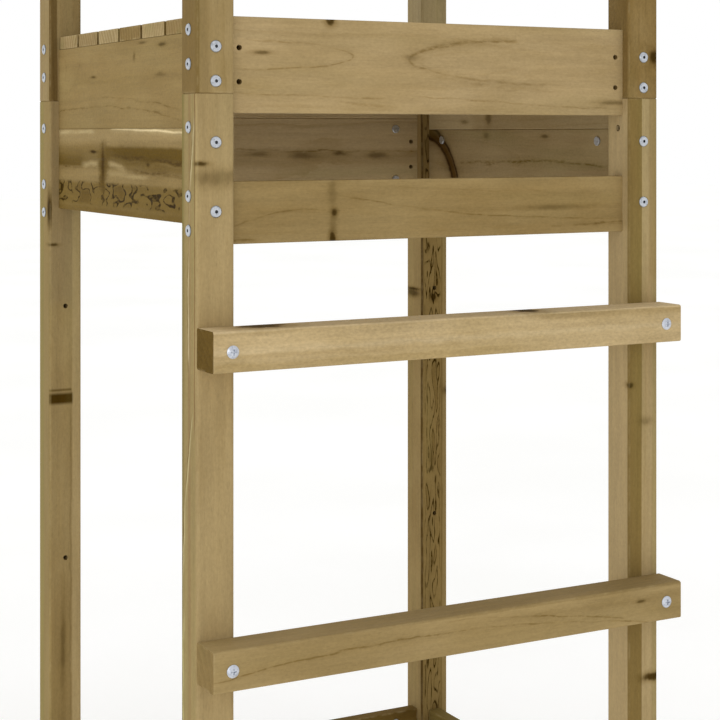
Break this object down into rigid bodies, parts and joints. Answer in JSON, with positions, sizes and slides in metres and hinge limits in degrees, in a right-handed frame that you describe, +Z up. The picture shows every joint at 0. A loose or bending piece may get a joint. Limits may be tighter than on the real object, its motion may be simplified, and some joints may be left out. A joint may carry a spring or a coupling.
{
  "type": "climbing tower",
  "caption": "Small wooden climbing tower: square posts, a boarded deck with rungs up the front, guard boards and open base and top frames.",
  "frame": {"origin": "on the ground, under the middle of the whole tower's box", "axes": "+Z up; -Y is the climbing side with the rungs; +X is to the right of someone facing the rungs from outside"},
  "size_m": [0.5328, 0.507, 1.94],
  "materials": {
    "post_pine": "sawn and planed pressure-treated pine, green-brown, matt",
    "board_pine": "planed pressure-treated pine, green-brown, matt",
    "deck_pine": "planed pressure-treated pine, matt",
    "rung_pine": "planed pressure-treated pine, matt",
    "beech_dowel": "turned beech, matt",
    "zinc_bolt": "bright zinc plate",
    "zinc_nut": "zinc plate",
    "zinc_screw": "bright zinc plate"
  },
  "bodies": {
    "root": {"back_guard_board_1": "board_pine", "back_guard_board_2": "board_pine", "back_guard_board_3": "board_pine", "back_lower_board": "board_pine", "back_top_board": "board_pine", "base_back_board": "board_pine", "base_barrel_nuts": "zinc_nut", "base_bolts": "zinc_bolt", "base_front_board": "board_pine", "base_left_board": "board_pine", "base_right_board": "board_pine", "deck_board_1": "deck_pine", "deck_board_2": "deck_pine", "deck_board_3": "deck_pine", "deck_board_4": "deck_pine", "deck_board_5": "deck_pine", "deck_board_6": "deck_pine", "deck_screws": "zinc_screw", "front_lower_board": "board_pine", "front_top_board": "board_pine", "guard_barrel_nuts": "zinc_nut", "guard_bolts": "zinc_bolt", "left_guard_board_1": "board_pine", "left_guard_board_2": "board_pine", "left_guard_board_3": "board_pine", "left_lower_board": "board_pine", "left_upper_board": "board_pine", "lower_post_back_left": "post_pine", "lower_post_back_right": "post_pine", "lower_post_front_left": "post_pine", "lower_post_front_right": "post_pine", "lower_rung": "rung_pine", "platform_barrel_nuts": "zinc_nut", "platform_bolts": "zinc_bolt", "post_dowels": "beech_dowel", "right_guard_board_1": "board_pine", "right_guard_board_2": "board_pine", "right_guard_board_3": "board_pine", "right_lower_board": "board_pine", "right_upper_board": "board_pine", "rung_screws": "zinc_screw", "spare_hole_bolts": "zinc_bolt", "top_back_board": "board_pine", "top_barrel_nuts": "zinc_nut", "top_bolts": "zinc_bolt", "top_front_board": "board_pine", "top_left_board": "board_pine", "top_right_board": "board_pine", "upper_post_back_left": "post_pine", "upper_post_back_right": "post_pine", "upper_post_front_left": "post_pine", "upper_post_front_right": "post_pine", "upper_rung": "rung_pine"}
  },
  "joints": []
}
